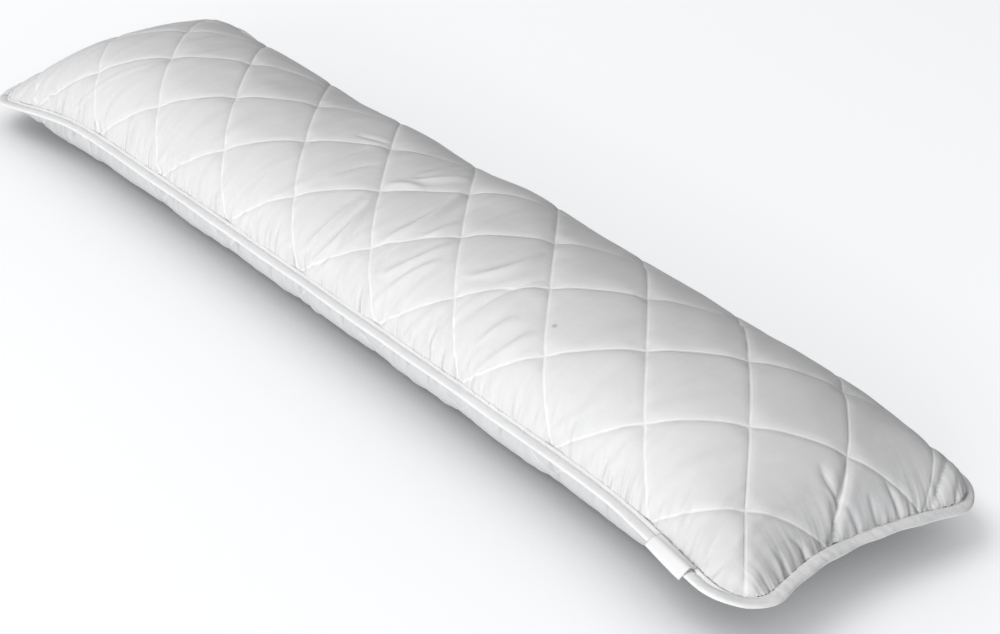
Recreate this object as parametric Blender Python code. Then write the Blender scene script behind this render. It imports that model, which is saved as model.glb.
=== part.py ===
"""Quilted body pillow: one filled cushion of two square-quilted panels sewn together all round,
a folded tape bound over the seam and a blank label tab caught in the seam near one corner.

Metres, +Z up.  The pillow lies on its back panel, long side along X, and its flat sizes are
those of the two panels before filling: u runs along the length and v across the width.
"""
import bpy
import bmesh
import numpy as np
from math import cos, radians, sin

NAME = "body_pillow"

# Panels, flat
LENGTH = 1.450            # seam to seam along the pillow
WIDTH = 0.400             # seam to seam across it
CORNER = 0.050            # radius of the cut corners
PITCH = 0.150             # quilting rows, measured along the seam; the rows run at 45 degrees
FIRST_ROW = LENGTH - 8 * PITCH
STEP = PITCH / 9          # panel grid: each quilting row runs through its corners

# Filled shape, above and below the seam
WALL_ANGLE = 1.224        # slope of the top panel where it leaves the long seams (radians)
LEAN = -0.156             # crown leans towards the back long side
END_RUN = 0.309           # length over which each end rises to the full crown
END_POWER = 2.35
CORNER_FILL = 2.0         # how full the corners are; more is fuller
DRAWN_LENGTH = 0.985      # how far filling draws the panel in along the long seams
DRAWN_WIDTH = 0.932       # and along the end seams
END_DROOP = 0.009         # the ends of the seam hang a little
BELLY_ANGLE = 1.70        # slope of the back panel where it leaves the long seams
SEAM_HEIGHT = 0.067       # seam above the surface that the pillow lies on
BELLY_RUN = 0.250
BELLY_POWER = 1.6
PUFF = 0.005              # rise of each square between its quilting rows
BACK_PUFF = 0.0035        # the same on the back panel, where it doesn't lie on the surface
GROOVE = 0.0025           # depth of a row where the back panel lies flat
BACK_ROWS = (2 * STEP, 6 * STEP)      # the back panel's rows are cut out of step with the top's

# Unevenness of the filling: (place along the length, spread, rise)
LUMPS = ((0.30, 0.11, 0.003), (0.74, 0.11, -0.007), (0.96, 0.11, 0.003))
# Corners and ends that lie pulled about: (u, v, spread, dx, dy, dz)
PULLS = ((0.0, 0.0, 0.13, 0.007, 0.005, -0.019), (LENGTH, WIDTH, 0.13, -0.005, -0.012, -0.010),
         (0.0, WIDTH, 0.13, -0.004, 0.0, 0.014), (LENGTH, 0.10, 0.08, -0.008, 0.0, 0.002))

# Binding tape, folded over the seam
TAPE_GAP = 0.0005
TAPE_WIDTH = 0.0145
TAPE_THICK = 0.0056
TAPE_THICK_END = 0.0090   # fuller where it turns along the near end
TAPE_DROP = radians(9.0)
TAPE_SECTION = ((0.00, 0.50), (0.34, 0.94), (0.74, 1.00), (1.00, 0.42),
                (1.00, -0.42), (0.74, -1.00), (0.34, -0.94), (0.00, -0.50))

# Label tab, a short piece of ribbon folded double
LABEL_U = (1.324, 1.382)
LABEL_REACH = 0.0235
LABEL_THICK = 0.0012
LABEL_GAP = 0.0005
LABEL_RISE = 0.0022
LABEL_FALL = 0.0080

SAMPLES = 400


def running(f, centre):
    """Integral of the sampled f over the unit interval, measured from its middle or its start."""
    s = np.concatenate([[0.0], np.cumsum((f[1:] + f[:-1]) / 2)]) / (len(f) - 1)
    return s - np.interp(0.5, np.linspace(0, 1, len(f)), s) if centre else s


# Cross-section of the top panel: its slope falls from one long seam to the other
_t = np.linspace(0, 1, SAMPLES + 1)
_slope = WALL_ANGLE * ((1 - 2 * _t) + LEAN * np.sin(2 * np.pi * _t))
_rise = running(np.sin(_slope), False) * WIDTH
CROWN = float(_rise.max())
_rise = _rise / CROWN
_rate = np.sin(_slope) / CROWN


def across(v):
    """Share of the crown at v, and how fast it grows there."""
    return np.interp(v / WIDTH, _t, _rise), np.interp(v / WIDTH, _t, _rate)


def along(u, run, power):
    """Share of the full height at u, and how fast it grows there."""
    e = np.clip(np.minimum(u, LENGTH - u) / run, 0, 1)
    rate = np.sign(LENGTH / 2 - u) * (1 - e) ** power * (power + 1) / run
    return 1 - (1 - e) ** (power + 1), rate


def filled(rise, share):
    """Height over the panel: full corners, not the thin ones that a plain product gives."""
    a, b = np.maximum(rise, 1e-6), np.maximum(share, 1e-6)
    return (a ** -CORNER_FILL + b ** -CORNER_FILL - 1) ** (-1 / CORNER_FILL)


def top_y(u, v):
    share, _ = along(u, END_RUN, END_POWER)
    drawn = 1 - (1 - DRAWN_WIDTH) * (1 - share)
    out = np.empty_like(u)
    for k in range(len(u)):
        line = np.sqrt(np.clip(1 - (CROWN * share[k] * _rate) ** 2, 0, 1))
        out[k] = np.interp(v[k] / WIDTH, _t, running(line, True)) * WIDTH * drawn[k]
    bow = 0.0035 * (1 - (2 * u / LENGTH - 1) ** 2)
    return out + bow


def top_x(u, v):
    rise, _ = across(v)
    _, rate = along(_t * LENGTH, END_RUN, END_POWER)
    drawn = 1 - (1 - DRAWN_LENGTH) * (1 - rise)
    out = np.empty_like(u)
    for k in range(len(u)):
        line = np.sqrt(np.clip(1 - (CROWN * rate * rise[k]) ** 2, 0, 1))
        out[k] = np.interp(u[k] / LENGTH, _t, running(line, True)) * LENGTH * drawn[k]
    return out


def rounded(u, v):
    """Moves a point of the squared panel to its place in the panel with round corners."""
    cu = np.where(u < LENGTH / 2, CORNER, LENGTH - CORNER)
    cv = np.where(v < WIDTH / 2, CORNER, WIDTH - CORNER)
    su, sv = np.where(u < LENGTH / 2, -1, 1), np.where(v < WIDTH / 2, -1, 1)
    a, b = (u - cu) * su / CORNER, (v - cv) * sv / CORNER
    inside = (a > 0) & (b > 0)
    ra = np.where(inside, a * np.sqrt(np.clip(1 - b * b / 2, 0, 1)), a)
    rb = np.where(inside, b * np.sqrt(np.clip(1 - a * a / 2, 0, 1)), b)
    return cu + su * ra * CORNER, cv + sv * rb * CORNER, inside


def pulled(u, v, p):
    """Adds the drooping seam ends and the corners that lie pulled about."""
    p[:, 2] -= END_DROOP * (2 * u / LENGTH - 1) ** 8
    for cu, cv, spread, dx, dy, dz in PULLS:
        near = np.exp(-((u - cu) ** 2 + (v - cv) ** 2) / spread ** 2)
        p += near[:, None] * np.array((dx, dy, dz))
    return p


def top_points(u, v):
    ur, vr, _ = rounded(u, v)
    rise, _ = across(v)
    share, _ = along(u, END_RUN, END_POWER)
    z = CROWN * filled(rise, share)
    for place, spread, lift in LUMPS:
        z = z + lift * rise * share * np.exp(-((u - place) / spread) ** 2)
    return pulled(u, v, np.stack([top_x(ur, vr), top_y(ur, vr), z], 1))


def back_points(u, v):
    """The back panel: round under the seam, then flat where it lies on the surface."""
    ur, vr, corner = rounded(u, v)
    share, _ = along(u, BELLY_RUN, BELLY_POWER)
    depth = SEAM_HEIGHT * share
    angle = BELLY_ANGLE * np.sqrt(np.maximum(share, 1e-9))
    radius = depth / (1 - np.cos(angle))
    lo, hi = top_y(u, 0 * u), top_y(u, 0 * u + WIDTH)
    run = (hi - lo) - 2 * radius * np.sin(angle) + 2 * radius * angle

    def section(w):
        s = run * w / WIDTH
        near = np.minimum(s, run - s)
        turn = np.clip(angle - near / np.maximum(radius, 1e-9), 0, None)
        y = radius * (np.sin(angle) - np.sin(turn)) + np.maximum(near - radius * angle, 0)
        z = -radius * (np.cos(turn) - np.cos(angle))
        return np.where(s < run / 2, lo + y, hi - y), z

    y, _ = section(vr)
    _, z = section(v)
    edge = np.minimum(np.minimum(u, LENGTH - u), np.minimum(v, WIDTH - v))
    hold = np.where(corner, np.clip(1 - edge / CORNER, 0, 1) ** 2, 0.0)
    y = y + (top_y(ur, vr) - y) * hold
    return pulled(u, v, np.stack([top_x(ur, vr), y, z], 1))


def square_puff(u, v, shift):
    """Rise inside one quilted square: none on its rows, fullest in its middle."""
    half = PITCH / 2
    out = np.ones_like(u)
    for value, offset in ((u + v, shift[0]), (u - v, shift[1])):
        d = np.abs((value - FIRST_ROW - offset + half) % PITCH - half)
        out = out * (1 - (1 - d / half) ** 2)
    seam = np.minimum(np.minimum(u, LENGTH - u), np.minimum(v, WIDTH - v))
    return out * np.clip(seam / (2 * STEP) - 0.5, 0, 1)


def on_row(u, v, shift):
    half = PITCH / 2
    out = np.zeros(len(u), bool)
    for value, offset in ((u + v, shift[0]), (u - v, shift[1])):
        out |= np.abs((value - FIRST_ROW - offset + half) % PITCH - half) < STEP / 4
    return out


def normals(surface, u, v):
    """Unit normals of a panel, from its neighbouring points."""
    d = STEP / 4
    uu, vv = np.clip(u, d, LENGTH - d), np.clip(v, d, WIDTH - d)
    n = np.cross(surface(uu + d, vv) - surface(uu - d, vv), surface(uu, vv + d) - surface(uu, vv - d))
    return n / np.linalg.norm(n, axis=1)[:, None]


def row_diagonal(iu, iv, shift):
    """Which way the square of the grid at iu, iv is split, so that its fold lies on a row."""
    nu, nv = round(LENGTH / STEP), round(WIDTH / STEP)
    if (iu in (0, nu - 1)) and (iv in (0, nv - 1)):
        return (iu == 0) == (iv == 0)
    first = round(FIRST_ROW / STEP)
    falling = (iu + iv + 1 - first - round(shift[0] / STEP)) % 9 == 0
    return not falling


def panel(bm, surface, shift, back):
    """One quilted panel, a flat grid first and then laid over the filling."""
    nu, nv = round(LENGTH / STEP), round(WIDTH / STEP)
    made = bmesh.ops.create_grid(bm, x_segments=nu, y_segments=nv, size=0.5)["verts"]
    index = {}
    for vert in made:
        iu, iv = round((vert.co.x + 0.5) * nu), round((vert.co.y + 0.5) * nv)
        index[vert] = (iu, iv)
    faces = {f for vert in made for f in vert.link_faces}
    for face in sorted(faces, key=lambda f: sorted(index[w] for w in f.verts)):
        where = {index[w]: w for w in face.verts}
        iu, iv = min(where)
        pair = ((iu, iv), (iu + 1, iv + 1)) if row_diagonal(iu, iv, shift) else \
            ((iu + 1, iv), (iu, iv + 1))
        bmesh.utils.face_split(face, where[pair[0]], where[pair[1]])
    u = np.array([index[w][0] for w in made]) * LENGTH / nu
    v = np.array([index[w][1] for w in made]) * WIDTH / nv
    p = surface(u, v)
    n = normals(surface, u, v)
    if back:
        n = -n
    p = p + n * ((BACK_PUFF if back else PUFF) * square_puff(u, v, shift))[:, None]
    if back:
        floor = p[:, 2] < -SEAM_HEIGHT + GROOVE
        p[:, 2] = np.maximum(p[:, 2], -SEAM_HEIGHT)
        rows = floor & on_row(u, v, shift)
        p[rows, 2] = -SEAM_HEIGHT + GROOVE
    for vert, place in zip(made, p):
        vert.co = place
    if back:
        bmesh.ops.reverse_faces(bm, faces=list({f for w in made for f in w.link_faces}))


def seam_ring(start=None, stop=None, count=None):
    """Points of the seam, once round or along part of the front, with outward directions."""
    if start is None:
        nu, nv = round(LENGTH / STEP), round(WIDTH / STEP)
        front = [(i * STEP, 0.0) for i in range(nu)]
        near = [(LENGTH, i * STEP) for i in range(nv)]
        rear = [(LENGTH - i * STEP, WIDTH) for i in range(nu)]
        far = [(0.0, WIDTH - i * STEP) for i in range(nv)]
        uv = np.array(front + near + rear + far)
    else:
        uv = np.array([(start + (stop - start) * i / count, 0.0) for i in range(-1, count + 2)])
    p = top_points(uv[:, 0], uv[:, 1])
    ahead = np.roll(p, -1, 0) - p
    behind = p - np.roll(p, 1, 0)
    turn = [np.stack([d[:, 1], -d[:, 0], 0 * d[:, 0]], 1) for d in (ahead, behind)]
    turn = [t / np.linalg.norm(t, axis=1)[:, None] for t in turn]
    out = turn[0] + turn[1]
    out = out * (2 / (out ** 2).sum(1))[:, None]
    if start is not None:
        return uv[1:-1], p[1:-1], out[1:-1]
    return uv, p, out


def smooth_step(x, a, b):
    t = np.clip((x - a) / (b - a), 0, 1)
    return t * t * (3 - 2 * t)


def tape_point(base, out, thick, drop, run, rise):
    reach = TAPE_GAP + run * TAPE_WIDTH * cos(drop) + rise * thick / 2 * sin(drop) * run
    lift = rise * thick / 2 * cos(drop) - run * TAPE_WIDTH * sin(drop)
    return base + out * reach + np.array((0, 0, lift))


def tape_thick(u):
    return TAPE_THICK + (TAPE_THICK_END - TAPE_THICK) * float(smooth_step(u, 1.39, 1.44))


def loft(name, rings, closed):
    """Closed skin through rings of points, a section that turns and swells as it goes."""
    bm = bmesh.new()
    made = [[bm.verts.new(point) for point in ring] for ring in rings]
    size = len(rings[0])
    for k in range(len(made) if closed else len(made) - 1):
        a, b = made[k], made[(k + 1) % len(made)]
        for i in range(size):
            j = (i + 1) % size
            bm.faces.new((a[i], a[j], b[j], b[i]))
    if not closed:
        bm.faces.new(made[0][::-1])
        bm.faces.new(made[-1])
    bmesh.ops.recalc_face_normals(bm, faces=bm.faces)
    bmesh.ops.triangulate(bm, faces=bm.faces, quad_method="SHORT_EDGE")
    return mesh_object(name, bm)


def mesh_object(name, bm):
    mesh = bpy.data.meshes.new(name)
    bm.to_mesh(mesh)
    bm.free()
    for polygon in mesh.polygons:
        polygon.use_smooth = True
    mesh.set_sharp_from_angle(angle=radians(40))
    return bpy.data.objects.new(name, mesh)


def quilted_pillow():
    """Filled body: both panels, meeting in the seam."""
    bm = bmesh.new()
    panel(bm, top_points, (0.0, 0.0), False)
    panel(bm, back_points, BACK_ROWS, True)
    bmesh.ops.remove_doubles(bm, verts=bm.verts, dist=0.00005)
    bmesh.ops.recalc_face_normals(bm, faces=bm.faces)
    return mesh_object("quilted_pillow", bm)


def edge_binding():
    """Folded tape standing out from the seam all round."""
    uv, points, out = seam_ring()
    rings = []
    for (u, v), base, way in zip(uv, points, out):
        thick = tape_thick(u)
        drop = TAPE_DROP * float(smooth_step(min(v, WIDTH - v), 0.08, 0.0))
        rings.append([tape_point(base, way, thick, drop, run, rise) for run, rise in TAPE_SECTION])
    return loft("edge_binding", rings, True)


def label_tab():
    """Blank ribbon tab, folded double, over the top of the binding."""
    uv, points, out = seam_ring(LABEL_U[0], LABEL_U[1], 6)
    steps = 8
    rings = []
    for (u, _), base, way in zip(uv, points, out):
        under, over = [], []
        for i in range(steps + 1):
            t = i / steps
            reach = -0.0002 + LABEL_REACH * t
            run = min(reach / TAPE_WIDTH, 1.0)
            skin = np.interp(run, [0, 0.34, 0.74, 1.0], [0.50, 0.94, 1.00, 0.42])
            thick = tape_thick(u)
            crest = skin * thick / 2 - run * TAPE_WIDTH * sin(TAPE_DROP)
            arch = LABEL_RISE * sin(np.pi * min(t * 1.25, 1.0)) * t
            fall = LABEL_FALL * max(t - 0.62, 0.0) ** 2 / 0.1444
            lift = max(crest, -0.0006) + LABEL_GAP + arch - fall * 0.55
            under.append(base + way * (reach + 0.0002) + np.array((0, 0, lift)))
            over.append(base + way * reach + np.array((0, 0, lift + LABEL_THICK)))
        rings.append(under + over[::-1])
    return loft("label_tab", rings, False)


def material(name, colour, roughness, sheen):
    mat = bpy.data.materials.new(name)
    mat.use_nodes = True
    shader = mat.node_tree.nodes["Principled BSDF"]
    shader.inputs["Base Color"].default_value = (*colour, 1.0)
    shader.inputs["Roughness"].default_value = roughness
    shader.inputs["Metallic"].default_value = 0.0
    shader.inputs["Sheen Weight"].default_value = sheen
    return mat


def clear_scene():
    for thing in list(bpy.data.objects):
        bpy.data.objects.remove(thing, do_unlink=True)


def main():
    clear_scene()
    parts = bpy.data.collections.new(NAME)
    bpy.context.scene.collection.children.link(parts)
    pieces = (
        (quilted_pillow(), material("quilted_cover", (0.80, 0.81, 0.82), 0.90, 0.30)),
        (edge_binding(), material("binding_tape", (0.78, 0.79, 0.80), 0.88, 0.20)),
        (label_tab(), material("label_ribbon", (0.86, 0.86, 0.87), 0.70, 0.0)),
    )
    # The origin is on the supporting surface, under the middle of the whole object
    every = np.concatenate([np.array([w.co for w in ob.data.vertices]) for ob, _ in pieces])
    low, high = every.min(0), every.max(0)
    move = -np.array(((low[0] + high[0]) / 2, (low[1] + high[1]) / 2, -SEAM_HEIGHT))
    for ob, mat in pieces:
        parts.objects.link(ob)
        ob.data.materials.append(mat)
        for vert in ob.data.vertices:
            vert.co = np.array(vert.co) + move


main()
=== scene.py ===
import bpy
import bmesh
import math
import random
import numpy as np
from mathutils import Matrix, Vector, noise


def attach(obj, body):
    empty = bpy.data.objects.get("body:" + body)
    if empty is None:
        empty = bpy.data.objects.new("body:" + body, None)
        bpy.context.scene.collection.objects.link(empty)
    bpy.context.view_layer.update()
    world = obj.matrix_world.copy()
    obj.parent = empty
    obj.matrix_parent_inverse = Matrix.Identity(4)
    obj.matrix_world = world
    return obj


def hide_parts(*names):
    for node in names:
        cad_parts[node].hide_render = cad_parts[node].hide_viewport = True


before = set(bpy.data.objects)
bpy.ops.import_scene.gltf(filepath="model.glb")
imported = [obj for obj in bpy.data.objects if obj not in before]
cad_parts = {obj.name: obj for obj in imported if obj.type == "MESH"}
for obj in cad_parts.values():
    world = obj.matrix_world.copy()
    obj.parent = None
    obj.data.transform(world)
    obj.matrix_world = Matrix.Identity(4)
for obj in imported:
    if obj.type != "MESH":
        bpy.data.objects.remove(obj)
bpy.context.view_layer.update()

# Camera
# A short telephoto held above the near corner with the label, looking down along the pillow
# and rolled a little, so that the pillow runs from the top left to the bottom right.
heading, dip, roll = math.radians(136.7775), math.radians(-29.1077), math.radians(5.3901)
ahead = Vector((math.cos(dip) * math.cos(heading), math.cos(dip) * math.sin(heading), math.sin(dip)))
level = ahead.cross(Vector((0, 0, 1))).normalized()
rise = level.cross(ahead)
right = level * math.cos(roll) + rise * math.sin(roll)
above = rise * math.cos(roll) - level * math.sin(roll)
camera = bpy.data.objects.new("camera", bpy.data.cameras.new("camera"))
camera.matrix_world = Matrix((
    (right.x, above.x, -ahead.x, 1.58712), (right.y, above.y, -ahead.y, -1.34332),
    (right.z, above.z, -ahead.z, 1.13631), (0, 0, 0, 1)))
camera.data.sensor_width = 36.0
camera.data.lens = 70.0
camera.data.clip_start = 0.05
bpy.context.scene.collection.objects.link(camera)
bpy.context.scene.camera = camera

# Floor and studio light
# A plain pale table top under a broad soft light high at the front left, with a low reflector
# that brightens the labelled long side; the far side and the near end fall into shade.
bm = bmesh.new()
bmesh.ops.create_grid(bm, x_segments=1, y_segments=1, size=9.0)
floor_mesh = bpy.data.meshes.new("floor")
bm.to_mesh(floor_mesh)
bm.free()
floor = bpy.data.objects.new("floor", floor_mesh)
bpy.context.scene.collection.objects.link(floor)
paper = bpy.data.materials.new("pale_paper")
paper.use_nodes = True
shader = paper.node_tree.nodes["Principled BSDF"]
shader.inputs["Roughness"].default_value = 0.9
shader.inputs["Emission Strength"].default_value = 0.63
# Painted contact shadow: an occlusion node darkens the floor's colour and its glow near the pillow, on top of the
# real shadows from the lamps.
painted_contact_shadow = paper.node_tree.nodes.new("ShaderNodeAmbientOcclusion")
painted_contact_shadow.inputs["Color"].default_value = (0.90, 0.912, 0.93, 1)
painted_contact_shadow.inputs["Distance"].default_value = 0.42
painted_shadow_blend = paper.node_tree.nodes.new("ShaderNodeMixRGB")
painted_shadow_blend.inputs["Fac"].default_value = 0.84
painted_shadow_blend.inputs["Color1"].default_value = (0.90, 0.912, 0.93, 1)
paper.node_tree.links.new(painted_contact_shadow.outputs["Color"], painted_shadow_blend.inputs["Color2"])
dimmed = paper.node_tree.nodes.new("ShaderNodeMixRGB")
dimmed.inputs["Fac"].default_value = 0.36
dimmed.inputs["Color2"].default_value = (0, 0, 0, 1)
paper.node_tree.links.new(painted_shadow_blend.outputs["Color"], dimmed.inputs["Color1"])
paper.node_tree.links.new(dimmed.outputs["Color"], shader.inputs["Base Color"])
paper.node_tree.links.new(painted_shadow_blend.outputs["Color"], shader.inputs["Emission Color"])
floor.data.materials.append(paper)

for light_name, place, aim, wide, tall, power, tint in (
        ("key", (-2.60, -5.90, 9.80), (0.0, 0.0, 0.05), 8.0, 7.0, 975, (1.0, 0.995, 0.985)),
        ("reflector", (4.30, -6.90, 1.90), (0.1, 0.0, 0.08), 4.4, 2.4, 310, (1.0, 1.0, 1.0))):
    lamp = bpy.data.lights.new(light_name, "AREA")
    lamp.shape = "RECTANGLE"
    lamp.size, lamp.size_y, lamp.energy, lamp.color = wide, tall, power, tint
    holder = bpy.data.objects.new(light_name, lamp)
    holder.location = place
    holder.rotation_euler = (Vector(aim) - Vector(place)).to_track_quat("-Z", "Y").to_euler()
    bpy.context.scene.collection.objects.link(holder)
world = bpy.data.worlds.new("studio")
world.use_nodes = True
world.node_tree.nodes["Background"].inputs["Color"].default_value = (0.93, 0.96, 1.0, 1)
world.node_tree.nodes["Background"].inputs["Strength"].default_value = 0.07
bpy.context.scene.world = world
bpy.context.scene.view_settings.view_transform = "Standard"

# Quilted cover and its filling
# Two panels of fine white microfibre, each quilted to thin wadding in rows at 45 degrees, are
# cut 145 by 40 cm, sewn together all round and filled with fibre, which draws the sides in.
# Panel places are (u, v) in metres on the flat cut, u along the pillow and v across it.
cut_length, cut_width, cut_corner, row_pitch = 1.450, 0.400, 0.050, 0.150
first_row = cut_length - 8 * row_pitch
back_rows = (row_pitch * 2 / 9, row_pitch * 6 / 9)
seam_height = 0.067
middle = np.array((0.003755, 0.002605, seam_height))

tv = np.linspace(0, cut_width, 401)
tu = np.linspace(0, cut_length, 581)


def sums(f, step, axis, centred):
    """Running integral of sampled values, from the start or from the middle."""
    f = np.moveaxis(f, axis, 0)
    total = np.concatenate([f[:1] * 0, np.cumsum((f[1:] + f[:-1]) / 2, 0)]) * step
    if centred:
        total = total - total[len(total) // 2]
    return np.moveaxis(total, 0, axis)


leave = 1.224 * ((1 - 2 * tv / cut_width) - 0.156 * np.sin(2 * np.pi * tv / cut_width))
lift = sums(np.sin(leave), tv[1], 0, False)
crown = float(lift.max())
lift, lift_rate = lift / crown, np.sin(leave) / crown


def end_share(u, run, power):
    e = np.clip(np.minimum(u, cut_length - u) / run, 0, 1)
    return 1 - (1 - e) ** (power + 1), np.sign(cut_length / 2 - u) * (1 - e) ** power * (power + 1) / run


share_u, rate_u = end_share(tu, 0.309, 2.35)
drawn_x = 1 - (1 - 0.985) * (1 - lift)
drawn_y = 1 - (1 - 0.932) * (1 - share_u)
lay_x = sums(np.sqrt(np.clip(1 - (crown * np.outer(rate_u, lift)) ** 2, 0, 1)), tu[1], 0, True)
lay_x = lay_x * drawn_x[None, :]
lay_y = sums(np.sqrt(np.clip(1 - (crown * np.outer(share_u, lift_rate)) ** 2, 0, 1)), tv[1], 1, True)
lay_y = lay_y * drawn_y[:, None] + 0.0035 * (1 - (2 * tu / cut_length - 1) ** 2)[:, None]


def read(table, u, v):
    """Value of a laid-out table at panel places."""
    a, b = np.clip(u / tu[1], 0, len(tu) - 1.001), np.clip(v / tv[1], 0, len(tv) - 1.001)
    i, j = a.astype(int), b.astype(int)
    a, b = a - i, b - j
    return (table[i, j] * (1 - a) * (1 - b) + table[i + 1, j] * a * (1 - b)
            + table[i, j + 1] * (1 - a) * b + table[i + 1, j + 1] * a * b)


def round_corner(u, v):
    cu = np.where(u < cut_length / 2, cut_corner, cut_length - cut_corner)
    cv = np.where(v < cut_width / 2, cut_corner, cut_width - cut_corner)
    su, sv = np.where(u < cut_length / 2, -1, 1), np.where(v < cut_width / 2, -1, 1)
    a, b = (u - cu) * su / cut_corner, (v - cv) * sv / cut_corner
    inside = (a > 0) & (b > 0)
    ra = np.where(inside, a * np.sqrt(np.clip(1 - b * b / 2, 0, 1)), a)
    rb = np.where(inside, b * np.sqrt(np.clip(1 - a * a / 2, 0, 1)), b)
    return cu + su * ra * cut_corner, cv + sv * rb * cut_corner, inside


def settle(u, v, p):
    """Drooping seam ends, corners that lie pulled about, and the move to the resting place."""
    p[:, 2] -= 0.009 * (2 * u / cut_length - 1) ** 8
    for cu, cv, spread, dx, dy, dz in (
            (0.0, 0.0, 0.13, 0.007, 0.005, -0.019), (cut_length, cut_width, 0.13, -0.005, -0.012, -0.010),
            (0.0, cut_width, 0.13, -0.004, 0.0, 0.014), (cut_length, 0.10, 0.08, -0.008, 0.0, 0.002),
            (cut_length, cut_width, 0.05, -0.002, -0.001, -0.001),
            (cut_length - 0.07, cut_width, 0.05, 0.0, -0.001, -0.004)):
        near = np.exp(-((u - cu) ** 2 + (v - cv) ** 2) / spread ** 2)
        p += near[:, None] * np.array((dx, dy, dz))
    return p + middle


def top_form(u, v):
    ur, vr, _ = round_corner(u, v)
    a = np.maximum(np.interp(v, tv, lift), 1e-6)
    b = np.maximum(end_share(u, 0.309, 2.35)[0], 1e-6)
    z = crown * (a ** -2 + b ** -2 - 1) ** -0.5
    for place, spread, rise_by in ((0.30, 0.11, 0.003), (0.74, 0.11, -0.007), (0.96, 0.11, 0.003)):
        z = z + rise_by * a * b * np.exp(-((u - place) / spread) ** 2)
    return settle(u, v, np.stack([read(lay_x, ur, vr), read(lay_y, ur, vr), z], 1))


def back_form(u, v):
    ur, vr, corner = round_corner(u, v)
    share = np.maximum(end_share(u, 0.250, 1.6)[0], 1e-9)
    depth, angle = seam_height * share, 1.70 * np.sqrt(share)
    radius = depth / (1 - np.cos(angle))
    lo, hi = read(lay_y, u, 0 * u), read(lay_y, u, 0 * u + cut_width)
    run = (hi - lo) - 2 * radius * np.sin(angle) + 2 * radius * angle

    def section(w):
        s = run * w / cut_width
        near = np.minimum(s, run - s)
        turn = np.clip(angle - near / radius, 0, None)
        y = radius * (np.sin(angle) - np.sin(turn)) + np.maximum(near - radius * angle, 0)
        return np.where(s < run / 2, lo + y, hi - y), -radius * (np.cos(turn) - np.cos(angle))

    y, z = section(vr)[0], section(v)[1]
    edge = np.minimum(np.minimum(u, cut_length - u), np.minimum(v, cut_width - v))
    y = y + (read(lay_y, ur, vr) - y) * np.where(corner, np.clip(1 - edge / cut_corner, 0, 1) ** 2, 0)
    return settle(u, v, np.stack([read(lay_x, ur, vr), y, z], 1))


def outward(form, u, v):
    d = 0.004
    uu, vv = np.clip(u, d, cut_length - d), np.clip(v, d, cut_width - d)
    n = np.cross(form(uu + d, vv) - form(uu - d, vv), form(uu, vv + d) - form(uu, vv - d))
    return n / np.linalg.norm(n, axis=1)[:, None] * (-1 if form is back_form else 1)


def row_gap(u, v, side):
    """Distance on the cut from each family of quilting rows."""
    gaps = []
    for value, offset in ((u + v, back_rows[0] * side), (u - v, back_rows[1] * side)):
        gaps.append(np.abs((value - first_row - offset + row_pitch / 2) % row_pitch - row_pitch / 2)
                    / math.sqrt(2))
    return gaps


def sewn_panels(name, top_cells, back_cells):
    """Both panels as fine grids on the cut, joined round the edge; the cut place stays on it."""
    bm = bmesh.new()
    cut = bm.verts.layers.float_vector.new("panel_place")
    for side, cells in ((0, top_cells), (1, back_cells)):
        verts = bmesh.ops.create_grid(bm, x_segments=cells[0], y_segments=cells[1], size=0.5)["verts"]
        faces = list({f for w in verts for f in w.link_faces})
        for w in verts:
            w[cut] = (w.co.x + 0.5, w.co.y + 0.5, side)
        shift = round(back_rows[0] / cut_length * cells[0]) * side
        unit, start = round(row_pitch / cut_length * cells[0]), round(first_row / cut_length * cells[0])
        rim = [e for e in {e for w in verts for e in w.link_edges} if len(e.link_faces) == 1]
        for face in faces:
            where = {(round((w.co.x + 0.5) * cells[0]), round((w.co.y + 0.5) * cells[1])): w
                     for w in face.verts}
            i, j = min(where)
            if i in (0, cells[0] - 1) and j in (0, cells[1] - 1):
                rising = (i == 0) == (j == 0)
            else:
                rising = (i + j + 1 - start - shift) % unit != 0
            pair = ((i, j), (i + 1, j + 1)) if rising else ((i + 1, j), (i, j + 1))
            bmesh.utils.face_split(face, where[pair[0]], where[pair[1]])
        if side:
            bmesh.ops.reverse_faces(bm, faces=list({f for w in verts for f in w.link_faces}))
        if side and top_cells != back_cells:
            bmesh.ops.bisect_edges(bm, edges=rim, cuts=top_cells[0] // cells[0] - 1)
    borders = [w for w in bm.verts if any(len(e.link_faces) == 1 for e in w.link_edges)]
    for w in borders:
        w[cut] = (w.co.x + 0.5, w.co.y + 0.5, round(w[cut][2]))
    bmesh.ops.remove_doubles(bm, verts=borders, dist=0.00002)
    bmesh.ops.triangulate(bm, faces=[f for f in bm.faces if len(f.verts) > 3])
    mesh = bpy.data.meshes.new(name)
    bm.to_mesh(mesh)
    bm.free()
    place = np.zeros(len(mesh.vertices) * 3)
    mesh.attributes["panel_place"].data.foreach_get("vector", place)
    place = place.reshape(-1, 3)
    mesh.attributes.remove(mesh.attributes["panel_place"])
    return mesh, place[:, 0] * cut_length, place[:, 1] * cut_width, place[:, 2] > 0.5


def on_form(u, v, back):
    return np.where(back[:, None], back_form(u, v), top_form(u, v))


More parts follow.
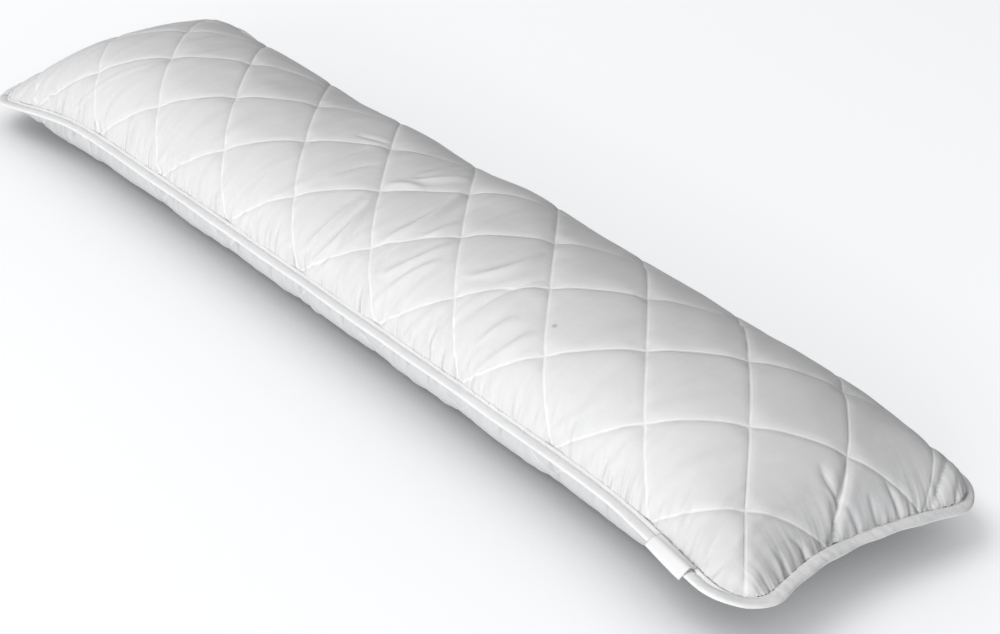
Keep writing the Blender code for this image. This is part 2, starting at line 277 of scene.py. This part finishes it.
# The filling swells each square between its rows: a light cloth held at the seam and rows
loose_mesh, lu, lv, lback = sewn_panels("loose", (174, 48), (174, 48))
resting = on_form(lu, lv, lback)
edge = np.minimum(np.minimum(lu, cut_length - lu), np.minimum(lv, cut_width - lv))
gap_a, gap_b = [np.where(lback, b, t) for t, b in zip(row_gap(lu, lv, 0), row_gap(lu, lv, 1))]
loose = bpy.data.objects.new("loose", loose_mesh)
bpy.context.scene.collection.objects.link(loose)
loose_mesh.vertices.foreach_set("co", resting.ravel())
held = loose.vertex_groups.new(name="held")
sewn = (edge < 1e-5) | (gap_a < 0.001) | (gap_b < 0.001)
held.add(np.flatnonzero(sewn).tolist(), 1.0, "REPLACE")
loose.shape_key_add(name="filled")
flat = loose.shape_key_add(name="flat")
ru, rv, _ = round_corner(lu, lv)
flat.data.foreach_set("co", np.stack([ru * 1.02, rv * 1.02, np.where(lback, -0.0005, 0.0005)], 1).ravel())
flat.value = 0.0
cloth = loose.modifiers.new("cloth", "CLOTH")
cloth.settings.rest_shape_key = flat
cloth.settings.vertex_group_mass = "held"
cloth.settings.quality = 5
cloth.settings.mass = 0.003
for kind, stiff, damp in (("tension", 30, 10), ("compression", 30, 10), ("shear", 8, 8), ("bending", 0.02, 0.5)):
    setattr(cloth.settings, kind + "_stiffness", stiff)
    setattr(cloth.settings, kind + "_damping", damp)
cloth.settings.air_damping = 2
cloth.settings.use_pressure = True
cloth.settings.uniform_pressure_force = 300
cloth.settings.effector_weights.gravity = 0
cloth.collision_settings.use_collision = False
cloth.collision_settings.use_self_collision = False
cloth.point_cache.frame_end = 20
for step in range(1, 21):
    bpy.context.scene.frame_set(step)
evaluated = loose.evaluated_get(bpy.context.evaluated_depsgraph_get())
swollen = np.zeros(len(lu) * 3)
evaluated.data.vertices.foreach_get("co", swollen)
swollen = swollen.reshape(-1, 3)
bpy.context.scene.frame_set(1)
bpy.data.objects.remove(loose)
moved = swollen - resting
far = np.linalg.norm(moved, axis=1)
moved = moved * np.minimum(1, 0.009 / np.maximum(far, 1e-9))[:, None]
wall = np.clip(np.minimum(lv, cut_width - lv) / 0.12, 0, 1)
moved = moved * np.where(lback, 0.4 + 0.6 * wall ** 2, 0.55)[:, None]
swell = np.zeros((2, 175, 49, 3))
gi, gj = np.rint(lu / cut_length * 174).astype(int), np.rint(lv / cut_width * 48).astype(int)
swell[lback.astype(int), gi, gj] = moved
swell[:, [0, 174]] = 0
swell[:, :, [0, 48]] = 0


def swollen_by(u, v, back):
    """Smooth reading of how far the filling has moved the cloth."""
    a, b = np.clip(u / cut_length * 174, 0, 173.999), np.clip(v / cut_width * 48, 0, 47.999)
    i, j = a.astype(int), b.astype(int)
    a, b = a - i, b - j

    def weights(t):
        return (-0.5 * t + t * t - 0.5 * t ** 3, 1 - 2.5 * t * t + 1.5 * t ** 3,
                0.5 * t + 2 * t * t - 1.5 * t ** 3, -0.5 * t * t + 0.5 * t ** 3)

    total = 0
    for di, wa in zip((-1, 0, 1, 2), weights(a)):
        for dj, wb in zip((-1, 0, 1, 2), weights(b)):
            total = total + (wa * wb)[:, None] * swell[back.astype(int), np.clip(i + di, 0, 174), np.clip(j + dj, 0, 48)]
    return total


# Gathers: the seam thread is shorter than the cloth, which stands in small folds near it
def gathers(along, inwards, length, strength, seed, reach, lean, close):
    """Height of seeded folds; along and inwards are distances along a seam and in from it."""
    chance = random.Random(seed)
    out = np.zeros(len(along))
    at = 0.004
    while at < length:
        wide = chance.uniform(0.0030, 0.0052)
        far_in = reach * chance.uniform(0.35, 1.0) ** 1.5
        high = chance.uniform(0.25, 1.0) * np.interp(at, *zip(*strength))
        slant = lean + chance.uniform(-0.25, 0.25)
        bend = chance.uniform(-2.5, 2.5)
        k = np.flatnonzero((inwards < far_in) & (np.abs(along - at) < 0.07))
        d = inwards[k]
        x = (along[k] - at - slant * d - bend * d * d) / (wide * (1 + 6 * d))
        t = d / far_in
        rise = (1 - t) ** 1.5 * (1 + t) * (1 - np.exp(-d / 0.003))
        out[k] += high * rise * (np.exp(-x * x) - 0.5 * np.exp(-((np.abs(x) - 1.8) / 0.8) ** 2))
        at += wide * close * chance.uniform(1.4, 3.4)
    return out


# Creases where the cloth is pulled between its rows, each a soft fold through three places on
# the cut, set to the half centimetre after the photo
# from u, v     middle u, v     to u, v (cm)     half width, height (mm, a trough below zero)
top_creases = (
    (71.5, 1.5, 73.0, 7.5, 71.0, 13.0, 5.0, 4.0),
    (69.5, 2.5, 70.5, 8.0, 70.0, 12.5, 4.5, 3.5),
    (78.0, 8.0, 79.5, 14.0, 77.0, 22.0, 6.5, 5.0),
    (81.5, 11.5, 82.5, 14.0, 82.5, 16.5, 4.0, 2.5),
    (80.5, 9.5, 80.5, 7.5, 81.0, 5.0, 4.0, -2.5),
    (82.0, 5.0, 84.5, 9.0, 85.5, 13.0, 5.0, 3.5),
    (84.5, 2.5, 85.5, 7.0, 87.0, 10.5, 5.0, 3.5),
    (96.0, 5.5, 96.5, 9.0, 98.5, 15.5, 6.0, -3.5),
    (91.5, 10.0, 94.5, 14.0, 94.5, 19.0, 6.0, 3.5),
    (99.5, 4.0, 100.5, 7.0, 101.5, 9.5, 5.0, 2.5),
    (101.5, 1.5, 103.5, 6.0, 104.5, 9.0, 5.0, 3.0),
    (62.0, 9.5, 61.5, 14.5, 61.5, 20.0, 5.0, -2.5),
    (64.0, 12.0, 64.5, 15.5, 65.5, 18.5, 4.5, -2.0),
    (70.0, 20.0, 70.0, 24.0, 69.5, 29.0, 4.5, -3.0),
    (71.0, 19.0, 73.0, 22.0, 74.0, 25.0, 4.5, 3.0),
    (69.5, 15.5, 71.0, 17.5, 73.5, 19.0, 6.0, 2.5),
    (72.5, 26.0, 72.0, 22.5, 70.5, 19.5, 4.5, -3.0),
    (58.0, 20.5, 59.5, 21.5, 61.5, 23.0, 3.5, -2.5),
    (138.0, 22.5, 141.0, 18.5, 146.0, 15.5, 5.0, -4.5),
    (137.0, 18.5, 139.5, 18.0, 142.0, 18.5, 4.5, -3.0),
    (141.5, 19.0, 143.5, 19.5, 146.0, 20.0, 3.5, -2.5),
    (141.5, 22.5, 143.5, 22.5, 146.0, 22.5, 4.0, -2.5),
    (141.0, 25.5, 143.0, 26.0, 146.0, 26.5, 4.0, -3.5),
    (142.5, 10.5, 143.5, 11.0, 146.0, 9.0, 4.0, -4.0),
    (142.5, 7.5, 144.0, 7.5, 146.0, 5.5, 4.0, -2.5),
    (139.5, 17.0, 142.5, 17.0, 145.5, 15.5, 4.5, -2.5),
    (140.5, 37.5, 143.0, 33.5, 146.0, 30.0, 4.5, -4.0),
    (143.0, 37.5, 144.0, 36.0, 146.0, 34.5, 3.5, -2.5),
)


# Places where the filling is thicker or thinner: u, v, spread, height
top_lumps = (
    (0.790, 0.285, 0.080, 0.011),
    (0.580, 0.290, 0.060, 0.004),
    (0.440, 0.300, 0.100, -0.005),
    (0.060, 0.150, 0.080, 0.003),
    (1.300, 0.360, 0.060, 0.004),
    (1.385, 0.345, 0.040, 0.006),
    (1.425, 0.375, 0.030, 0.007),
    (1.350, 0.100, 0.070, -0.007),
    (1.050, 0.050, 0.060, 0.005),
)


def creases(u, v, table):
    """Height of the listed creases, each a soft ridge or trough with a slight swell beside it."""
    out = np.zeros(len(u))
    for entry in table:
        u1, v1, u2, v2, u3, v3 = [size / 100 for size in entry[:6]]
        wide, high = entry[6] / 1000, entry[7] / 1000
        run = math.hypot(u3 - u1, v3 - v1)
        du, dv = (u3 - u1) / run, (v3 - v1) / run
        mid = ((u2 - u1) * du + (v2 - v1) * dv) / run
        bow = (-(u2 - u1) * dv + (v2 - v1) * du) / (4 * mid * (1 - mid))
        t = ((u - u1) * du + (v - v1) * dv) / run
        k = np.flatnonzero((t > 0) & (t < 1))
        x = (-(u[k] - u1) * dv + (v[k] - v1) * du - 4 * bow * t[k] * (1 - t[k])) / wide
        taper = np.sin(np.pi * t[k]) ** 0.7
        core = np.exp(-x * x) if high > 0 else np.exp(-1.6 * np.abs(x))
        out[k] += high * taper * (core - 0.2 * np.exp(-((np.abs(x) - 2.4) / 1.2) ** 2))
    return out


def cloth_relief(u, v, back):
    """Height of everything finer than the swollen squares, square to the panel."""
    height = np.zeros(len(u))
    edge = np.minimum(np.minimum(u, cut_length - u), np.minimum(v, cut_width - v))
    for side in (0, 1):
        k = np.flatnonzero(back == bool(side))
        uk, vk = u[k], v[k]
        one, other = row_gap(uk, vk, side)
        gap = np.minimum(one, other)
        h = -0.0011 * np.exp(-(gap / 0.0036) ** 2)
        h -= 0.0028 * np.exp(-(one ** 2 + other ** 2) / 0.014 ** 2)
        wob = np.array([noise.noise(Vector((a * 9, b * 9, side * 7.0))) for a, b in zip(uk, vk)])
        small = np.array([noise.noise(Vector((a * 34, b * 26, 3 + side * 7.0))) for a, b in zip(uk, vk)])
        h += 0.0016 * wob + 0.0005 * small
        front = ((0, 1.5), (0.10, 2.0), (0.30, 1.5), (0.45, 1.1), (0.75, 1.4), (1.0, 1.3), (1.25, 1.0), (1.45, 1.0))
        far = cut_width - vk
        h += 0.0021 * gathers(uk, vk, cut_length, front, 3 + side, 0.055, -0.40, 1.0)
        h += 0.0017 * gathers(uk, vk, cut_length, ((0, 0.4), (0.4, 1), (1.2, 1), (1.45, 0.3)), 5 + side, 0.190, 0.10, 3.2)
        h += 0.0018 * gathers(uk, far, cut_length, front, 13 + side, 0.060, -0.10, 1.3)
        ends = ((0, 1.0), (0.2, 1.2), (0.4, 1.2))
        h += 0.0008 * gathers(vk, cut_length - uk, cut_width, ends, 23 + side, 0.050, 0.05, 1.7)
        h += 0.0014 * gathers(vk, uk, cut_width, ends, 33 + side, 0.070, 0.05, 1.4)
        if not side:
            h += creases(uk, vk, top_creases)
            for lump_u, lump_v, spread, high in top_lumps:
                h += high * np.exp(-((uk - lump_u) ** 2 + (vk - lump_v) ** 2) / spread ** 2)
        height[k] = h
    return height * np.clip(edge / 0.004, 0, 1)


cover_mesh, cu, cv, cback = sewn_panels("quilted_cover", (522, 144), (261, 72))
points = on_form(cu, cv, cback) + swollen_by(cu, cv, cback)
way = np.where(cback[:, None], outward(back_form, cu, cv), outward(top_form, cu, cv))
points = points + way * cloth_relief(cu, cv, cback)[:, None]
floor_level = 0.0002
low = points[:, 2] < 0.004
points[low, 2] = floor_level + np.log1p(np.exp((points[low, 2] - floor_level) / 0.0006)) * 0.0006
cover_mesh.vertices.foreach_set("co", points.ravel())
for polygon in cover_mesh.polygons:
    polygon.use_smooth = True
rows_at = np.where(cback, np.minimum(*row_gap(cu, cv, 1)), np.minimum(*row_gap(cu, cv, 0)))
cover_mesh.attributes.new("row_gap", "FLOAT", "POINT").data.foreach_set("value", rows_at)
to_side, to_end = np.minimum(cv, cut_width - cv), np.minimum(cu, cut_length - cu)
taut = np.where(cback, 1.0, np.clip((1.22 - cu) / 0.30, 0.2, 1))
crimped = (("crimp_side", np.exp(-to_side / 0.030) * np.clip((1.43 - cu) / 0.12, 0.3, 1)),
           ("pull", 0.55 + 0.35 * np.exp(-to_side / 0.060)),
           ("crimp_end", 0.70 * np.exp(-to_end / 0.018)), ("crumple", taut))
for attribute_name, amount in crimped:
    cover_mesh.attributes.new(attribute_name, "FLOAT", "POINT").data.foreach_set("value", amount)
cover_map = cover_mesh.uv_layers.new(name="cut")
corner_of = np.zeros(len(cover_mesh.loops), dtype=int)
cover_mesh.loops.foreach_get("vertex_index", corner_of)
cover_map.data.foreach_set("uv", np.stack([cu[corner_of], cv[corner_of] + 0.5 * cback[corner_of]], 1).ravel())
# Folds leave the front seam at a slant and turn square to it within 8 cm
slant_run = np.minimum(cv, 0.080)
fold_line = cu + 0.54 * slant_run - 3.4 * slant_run ** 2
fold_map = cover_mesh.uv_layers.new(name="folds")
fold_map.data.foreach_set("uv", np.stack([fold_line, cv + 0.5 * cback], 1)[corner_of].ravel())
cover = bpy.data.objects.new("quilted_cover", cover_mesh)
bpy.context.scene.collection.objects.link(cover)
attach(cover, "root")
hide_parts("quilted_pillow")


def cloth_material(name, colour, weave, depth, mottle, rumple_scale, rumple_depth):
    """Fine plain weave on the piece's own map, with soft rumples and faint unevenness of colour."""
    mat = bpy.data.materials.new(name)
    mat.use_nodes = True
    nodes, links = mat.node_tree.nodes, mat.node_tree.links
    shader = nodes["Principled BSDF"]
    shader.inputs["Roughness"].default_value = 0.86
    shader.inputs["Sheen Weight"].default_value = 0.12
    shader.inputs["Sheen Roughness"].default_value = 0.5
    uv = nodes.new("ShaderNodeUVMap")
    uv.uv_map = "cut"
    parts = nodes.new("ShaderNodeSeparateXYZ")
    links.new(uv.outputs["UV"], parts.inputs[0])
    threads = []
    for axis in ("X", "Y"):
        turn = nodes.new("ShaderNodeMath")
        turn.operation = "MULTIPLY"
        turn.inputs[1].default_value = 2 * math.pi / weave
        links.new(parts.outputs[axis], turn.inputs[0])
        wave = nodes.new("ShaderNodeMath")
        wave.operation = "SINE"
        links.new(turn.outputs[0], wave.inputs[0])
        threads.append(wave)
    cross = nodes.new("ShaderNodeMath")
    cross.operation = "MULTIPLY"
    links.new(threads[0].outputs[0], cross.inputs[0])
    links.new(threads[1].outputs[0], cross.inputs[1])
    bump = nodes.new("ShaderNodeBump")
    bump.inputs["Strength"].default_value = 0.35
    bump.inputs["Distance"].default_value = depth
    links.new(cross.outputs[0], bump.inputs["Height"])
    slub = nodes.new("ShaderNodeTexNoise")
    slub.inputs["Scale"].default_value = 420
    slub.inputs["Detail"].default_value = 3
    links.new(uv.outputs["UV"], slub.inputs["Vector"])
    soft = nodes.new("ShaderNodeBump")
    soft.inputs["Strength"].default_value = 0.25
    soft.inputs["Distance"].default_value = 0.0003
    links.new(slub.outputs["Fac"], soft.inputs["Height"])
    links.new(bump.outputs["Normal"], soft.inputs["Normal"])
    links.new(soft.outputs["Normal"], shader.inputs["Normal"])
    rumple = nodes.new("ShaderNodeTexNoise")
    rumple.inputs["Scale"].default_value = rumple_scale
    rumple.inputs["Detail"].default_value = 3
    links.new(uv.outputs["UV"], rumple.inputs["Vector"])
    rumpled = nodes.new("ShaderNodeBump")
    rumpled.inputs["Strength"].default_value = 0.4
    rumpled.inputs["Distance"].default_value = rumple_depth
    links.new(rumple.outputs["Fac"], rumpled.inputs["Height"])
    links.new(soft.outputs["Normal"], rumpled.inputs["Normal"])
    links.new(rumpled.outputs["Normal"], shader.inputs["Normal"])
    patch = nodes.new("ShaderNodeTexNoise")
    patch.inputs["Scale"].default_value = 14
    patch.inputs["Detail"].default_value = 4
    links.new(uv.outputs["UV"], patch.inputs["Vector"])
    ramp = nodes.new("ShaderNodeValToRGB")
    ramp.color_ramp.elements[0].color = (*[c * (1 - mottle) for c in colour], 1)
    ramp.color_ramp.elements[1].color = (*colour, 1)
    links.new(patch.outputs["Fac"], ramp.inputs["Fac"])
    links.new(ramp.outputs["Color"], shader.inputs["Base Color"])
    return mat


cover_stuff = cloth_material("white_microfibre", (0.78, 0.78, 0.785), 0.0007, 0.00006, 0.04, 38, 0.0014)
nodes, links = cover_stuff.node_tree.nodes, cover_stuff.node_tree.links
# Quilting rows: a paler strip along each row, partly the stitching and partly a painted highlight on the row's
# ridge; the same strip also sinks the row as a bump.
row = nodes.new("ShaderNodeAttribute")
row.attribute_name = "row_gap"
row_stitch_and_highlight = nodes.new("ShaderNodeMapRange")
row_stitch_and_highlight.interpolation_type = "SMOOTHSTEP"
for name, value in (("From Min", 0.0006), ("From Max", 0.0026), ("To Min", 0.9), ("To Max", 0.0)):
    row_stitch_and_highlight.inputs[name].default_value = value
links.new(row.outputs["Fac"], row_stitch_and_highlight.inputs["Value"])
stitch_and_highlight_tint = nodes.new("ShaderNodeMix")
stitch_and_highlight_tint.data_type = "RGBA"
for socket in stitch_and_highlight_tint.inputs:
    if socket.name == "A" and socket.type == "RGBA":
        links.new(nodes["Color Ramp"].outputs["Color"], socket)
    if socket.name == "B" and socket.type == "RGBA":
        socket.default_value = (0.87, 0.87, 0.87, 1)
links.new(row_stitch_and_highlight.outputs["Result"], stitch_and_highlight_tint.inputs["Factor"])
links.new([o for o in stitch_and_highlight_tint.outputs if o.type == "RGBA"][0], nodes["Principled BSDF"].inputs["Base Color"])
# Crimps too fine for the mesh: short wavy folds that run in from the seams
last_bump = nodes["Principled BSDF"].inputs["Normal"].links[0].from_socket
fold_uv = nodes.new("ShaderNodeUVMap")
fold_uv.uv_map = "folds"
groove = nodes.new("ShaderNodeBump")
groove.invert = True
groove.inputs["Strength"].default_value = 1.0
groove.inputs["Distance"].default_value = 0.0004
links.new(row_stitch_and_highlight.outputs["Result"], groove.inputs["Height"])
links.new(last_bump, groove.inputs["Normal"])
last_bump = groove.outputs["Normal"]
for attribute_name, source, scale, depth, kind in (
        ("crimp_side", fold_uv, (112, 9, 1), 0.0080, "FBM"), ("pull", fold_uv, (42, 5, 1), 0.0080, "FBM"),
        ("crimp_end", nodes["UV Map"], (12, 95, 1), 0.0080, "FBM"),
        ("crumple", fold_uv, (26, 13, 1), 0.0036, "RIDGED_MULTIFRACTAL")):
    place = nodes.new("ShaderNodeMapping")
    place.inputs["Scale"].default_value = scale
    links.new(source.outputs["UV"], place.inputs["Vector"])
    folds = nodes.new("ShaderNodeTexNoise")
    folds.noise_type = kind
    folds.inputs["Scale"].default_value = 1.0
    folds.inputs["Detail"].default_value = 0.7
    links.new(place.outputs["Vector"], folds.inputs["Vector"])
    amount = nodes.new("ShaderNodeAttribute")
    amount.attribute_name = attribute_name
    share = nodes.new("ShaderNodeMath")
    share.operation = "MULTIPLY"
    links.new(folds.outputs["Fac"], share.inputs[0])
    links.new(amount.outputs["Fac"], share.inputs[1])
    crimp = nodes.new("ShaderNodeBump")
    crimp.inputs["Strength"].default_value = 1.0
    crimp.inputs["Distance"].default_value = depth
    links.new(share.outputs[0], crimp.inputs["Height"])
    links.new(last_bump, crimp.inputs["Normal"])
    last_bump = crimp.outputs["Normal"]
links.new(last_bump, nodes["Principled BSDF"].inputs["Normal"])
mark = nodes.new("ShaderNodeVectorMath")
mark.operation = "DISTANCE"
mark.inputs[1].default_value = (1.054, 0.109, 0)
links.new(nodes["UV Map"].outputs["UV"], mark.inputs[0])
faint = nodes.new("ShaderNodeMapRange")
faint.interpolation_type = "SMOOTHSTEP"
for name, value in (("From Min", 0.0012), ("From Max", 0.0042), ("To Min", 0.55), ("To Max", 0.0)):
    faint.inputs[name].default_value = value
links.new(mark.outputs["Value"], faint.inputs["Value"])
stain = nodes.new("ShaderNodeMix")
stain.data_type = "RGBA"
links.new(faint.outputs["Result"], stain.inputs["Factor"])
links.new([o for o in stitch_and_highlight_tint.outputs if o.type == "RGBA"][0], [i for i in stain.inputs if i.type == "RGBA"][0])
[i for i in stain.inputs if i.type == "RGBA"][1].default_value = (0.30, 0.30, 0.30, 1)
links.new([o for o in stain.outputs if o.type == "RGBA"][0], nodes["Principled BSDF"].inputs["Base Color"])
cover_mesh.materials.append(cover_stuff)

# Binding tape
# A woven tape folded in half over the raw edges of both panels and lockstitched through all
# layers close to its inner edge; it stands out from the seam and is fuller round the near end.
tape_width, tape_thick = 0.0145, 0.0056
round_steps, across_steps = 880, 26
bm = bmesh.new()
grid = bmesh.ops.create_grid(bm, x_segments=round_steps, y_segments=across_steps, size=0.5)["verts"]
ring_count = 4000
spare = np.linspace(0, 1, ring_count, endpoint=False) * 2 * (cut_length + cut_width)
ring_u = np.interp(spare, (0, cut_length, cut_length + cut_width, 2 * cut_length + cut_width,
                           2 * cut_length + 2 * cut_width), (0, cut_length, cut_length, 0, 0))
ring_v = np.interp(spare, (0, cut_length, cut_length + cut_width, 2 * cut_length + cut_width,
                           2 * cut_length + 2 * cut_width), (0, 0, cut_width, cut_width, 0))
ring = top_form(ring_u, ring_v)
walk = np.concatenate([[0], np.cumsum(np.linalg.norm(np.diff(np.vstack([ring, ring[:1]]), axis=0), axis=1))])
ring_length = walk[-1]
closed_ring = np.vstack([ring, ring[:1]])
closed_u = np.append(ring_u, ring_u[0])


def seam_at(s):
    """Point, outward direction and cut place u of the seam at distances round it."""
    s = np.asarray(s) % ring_length
    point = np.stack([np.interp(s, walk, closed_ring[:, k]) for k in range(3)], 1)
    d = 0.010
    a = np.stack([np.interp((s + d) % ring_length, walk, closed_ring[:, k]) for k in range(3)], 1)
    b = np.stack([np.interp((s - d) % ring_length, walk, closed_ring[:, k]) for k in range(3)], 1)
    tangent = a - b
    out = np.stack([tangent[:, 1], -tangent[:, 0], 0 * s], 1)
    return point, out / np.linalg.norm(out, axis=1)[:, None], np.interp(s, walk, closed_u)


# Section of the folded tape as shares of its width and of half its thickness
tape_section = ((0.00, 0.55), (0.02, 0.75), (0.05, 0.92), (0.13, 1.00), (0.20, 0.88), (0.25, 0.20),
                (0.30, 0.15), (0.36, 0.70), (0.48, 0.95), (0.62, 1.00), (0.78, 0.94), (0.90, 0.76),
                (0.98, 0.40), (1.00, 0.05), (0.97, -0.30), (0.86, -0.62), (0.70, -0.86), (0.50, -0.95),
                (0.36, -0.72), (0.30, -0.15), (0.25, -0.20), (0.20, -0.88), (0.13, -1.00),
                (0.05, -0.92), (0.03, -0.80), (0.02, -0.70), (0.00, -0.55))
plain_roll = (0.55, 0.68, 0.75, 0.86, 0.92, 0.96, 0.98, 1.0, 1.0, 0.97, 0.90, 0.72,
              0.40, 0.05, -0.30, -0.62, -0.86, -0.95, -1.0, -0.98, -0.96, -0.92, -0.86,
              -0.75, -0.68, -0.62, -0.55)
where = np.array([(w.co.x + 0.5, w.co.y + 0.5) for w in grid])
s = where[:, 0] * ring_length
base, out, at_u = seam_at(s)
station = np.linspace(0, 1, len(tape_section))
run = np.interp(where[:, 1], station, [a for a, _ in tape_section])
lift_by = np.interp(where[:, 1], station, [b for _, b in tape_section])
end_part = np.clip((at_u - 1.39) / 0.05, 0, 1) ** 2 * (3 - 2 * np.clip((at_u - 1.39) / 0.05, 0, 1))
lift_by = lift_by + (np.interp(where[:, 1], station, plain_roll) - lift_by) * end_part
thick = tape_thick + (0.0066 - tape_thick) * end_part
width = tape_width - (0.0026 + 0.0012 * np.sin(s * 83) * np.sin(s * 31)) * end_part
thick = thick * (1 + (0.09 + 0.12 * end_part) * np.sin(s * 61) * np.sin(s * 23 + 1))
drop = math.radians(9) * (1 - end_part)
flutter = 0.0007 * np.sin(s * 37 + 0.6) * np.sin(s * 11)
reach = (width + 0.0026) * run * np.cos(drop) - 0.0020 + lift_by * thick / 2 * np.sin(drop) * run
height = lift_by * thick / 2 * np.cos(drop) - run * width * np.sin(drop) + flutter * run
tape_points = base + out * reach[:, None] + np.array((0, 0, 1)) * height[:, None]
tape_uv = bm.loops.layers.uv.new("cut")
for w, (a, b) in zip(grid, where):
    for loop in w.link_loops:
        loop[tape_uv].uv = (a * ring_length, b * 0.034)
for w, p in zip(grid, tape_points):
    w.co = p
bmesh.ops.remove_doubles(bm, verts=bm.verts, dist=0.00001)
bmesh.ops.recalc_face_normals(bm, faces=bm.faces)
tape_mesh = bpy.data.meshes.new("binding_tape")
bm.to_mesh(tape_mesh)
bm.free()
for polygon in tape_mesh.polygons:
    polygon.use_smooth = True
tape = bpy.data.objects.new("binding_tape", tape_mesh)
bpy.context.scene.collection.objects.link(tape)
tape_mesh.materials.append(cloth_material("woven_tape", (0.86, 0.86, 0.865), 0.0011, 0.00010, 0.04, 75, 0.0046))
folded = tape.modifiers.new("folded", "SOLIDIFY")
folded.thickness = 0.0005
folded.offset = -1
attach(tape, "root")
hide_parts("edge_binding")

# Label tab
# A blank satin ribbon folded double, its raw ends caught in the seam; it lies over the binding
# and its outer fold hangs free, a little curled.
bm = bmesh.new()
tab = bmesh.ops.create_grid(bm, x_segments=28, y_segments=30, size=0.5)["verts"]
label_from = float(np.interp(1.324, closed_u[:2000], walk[:2000]))
label_to = float(np.interp(1.382, closed_u[:2000], walk[:2000]))
where = np.array([(w.co.x + 0.5, w.co.y + 0.5) for w in tab])
base, out, at_u = seam_at(label_from + where[:, 0] * (label_to - label_from))
fold = where[:, 1]
t = 1 - np.abs(2 * fold - 1)
reach = 0.0005 + (0.0180 + 0.0020 * where[:, 0]) * np.sin(np.minimum(t, 1) * math.pi / 2)
crest = np.interp(reach / tape_width, (0, 0.13, 0.26, 0.62, 1.0), (0.0016, 0.0028, 0.0014, 0.0026, 0.0006))
crest = crest - reach * math.sin(math.radians(9)) + 0.0009
arch = (0.0008 + 0.0026 * where[:, 0]) * np.sin(np.clip(reach / 0.0190, 0, 1) * math.pi)
hang = (0.0060 - 0.0030 * where[:, 0]) * np.clip((reach / 0.0200 - 0.55) / 0.45, 0, 1) ** 2
layer = np.where(fold > 0.5, 0.0009, 0.0) * np.sqrt(np.clip(1 - (reach / 0.0206) ** 6, 0, 1))
height = np.maximum(crest, -0.0006) + arch - hang + layer
for w, p, up in zip(tab, base + out * reach[:, None], height):
    w.co = Vector(p) + Vector((0, 0, up))
tab_uv = bm.loops.layers.uv.new("cut")
for w, (a, b) in zip(tab, where):
    for loop in w.link_loops:
        loop[tab_uv].uv = (a * 0.058, b * 0.042)
bmesh.ops.recalc_face_normals(bm, faces=bm.faces)
tab_mesh = bpy.data.meshes.new("label_ribbon")
bm.to_mesh(tab_mesh)
bm.free()
for polygon in tab_mesh.polygons:
    polygon.use_smooth = True
ribbon = bpy.data.objects.new("label_ribbon", tab_mesh)
bpy.context.scene.collection.objects.link(ribbon)
wall = ribbon.modifiers.new("wall", "SOLIDIFY")
wall.thickness = 0.0003
wall.offset = 0
tab_mesh.materials.append(cloth_material("satin_ribbon", (0.86, 0.86, 0.865), 0.0005, 0.00004, 0.01, 38, 0.0006))
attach(ribbon, "root")
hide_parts("label_tab")
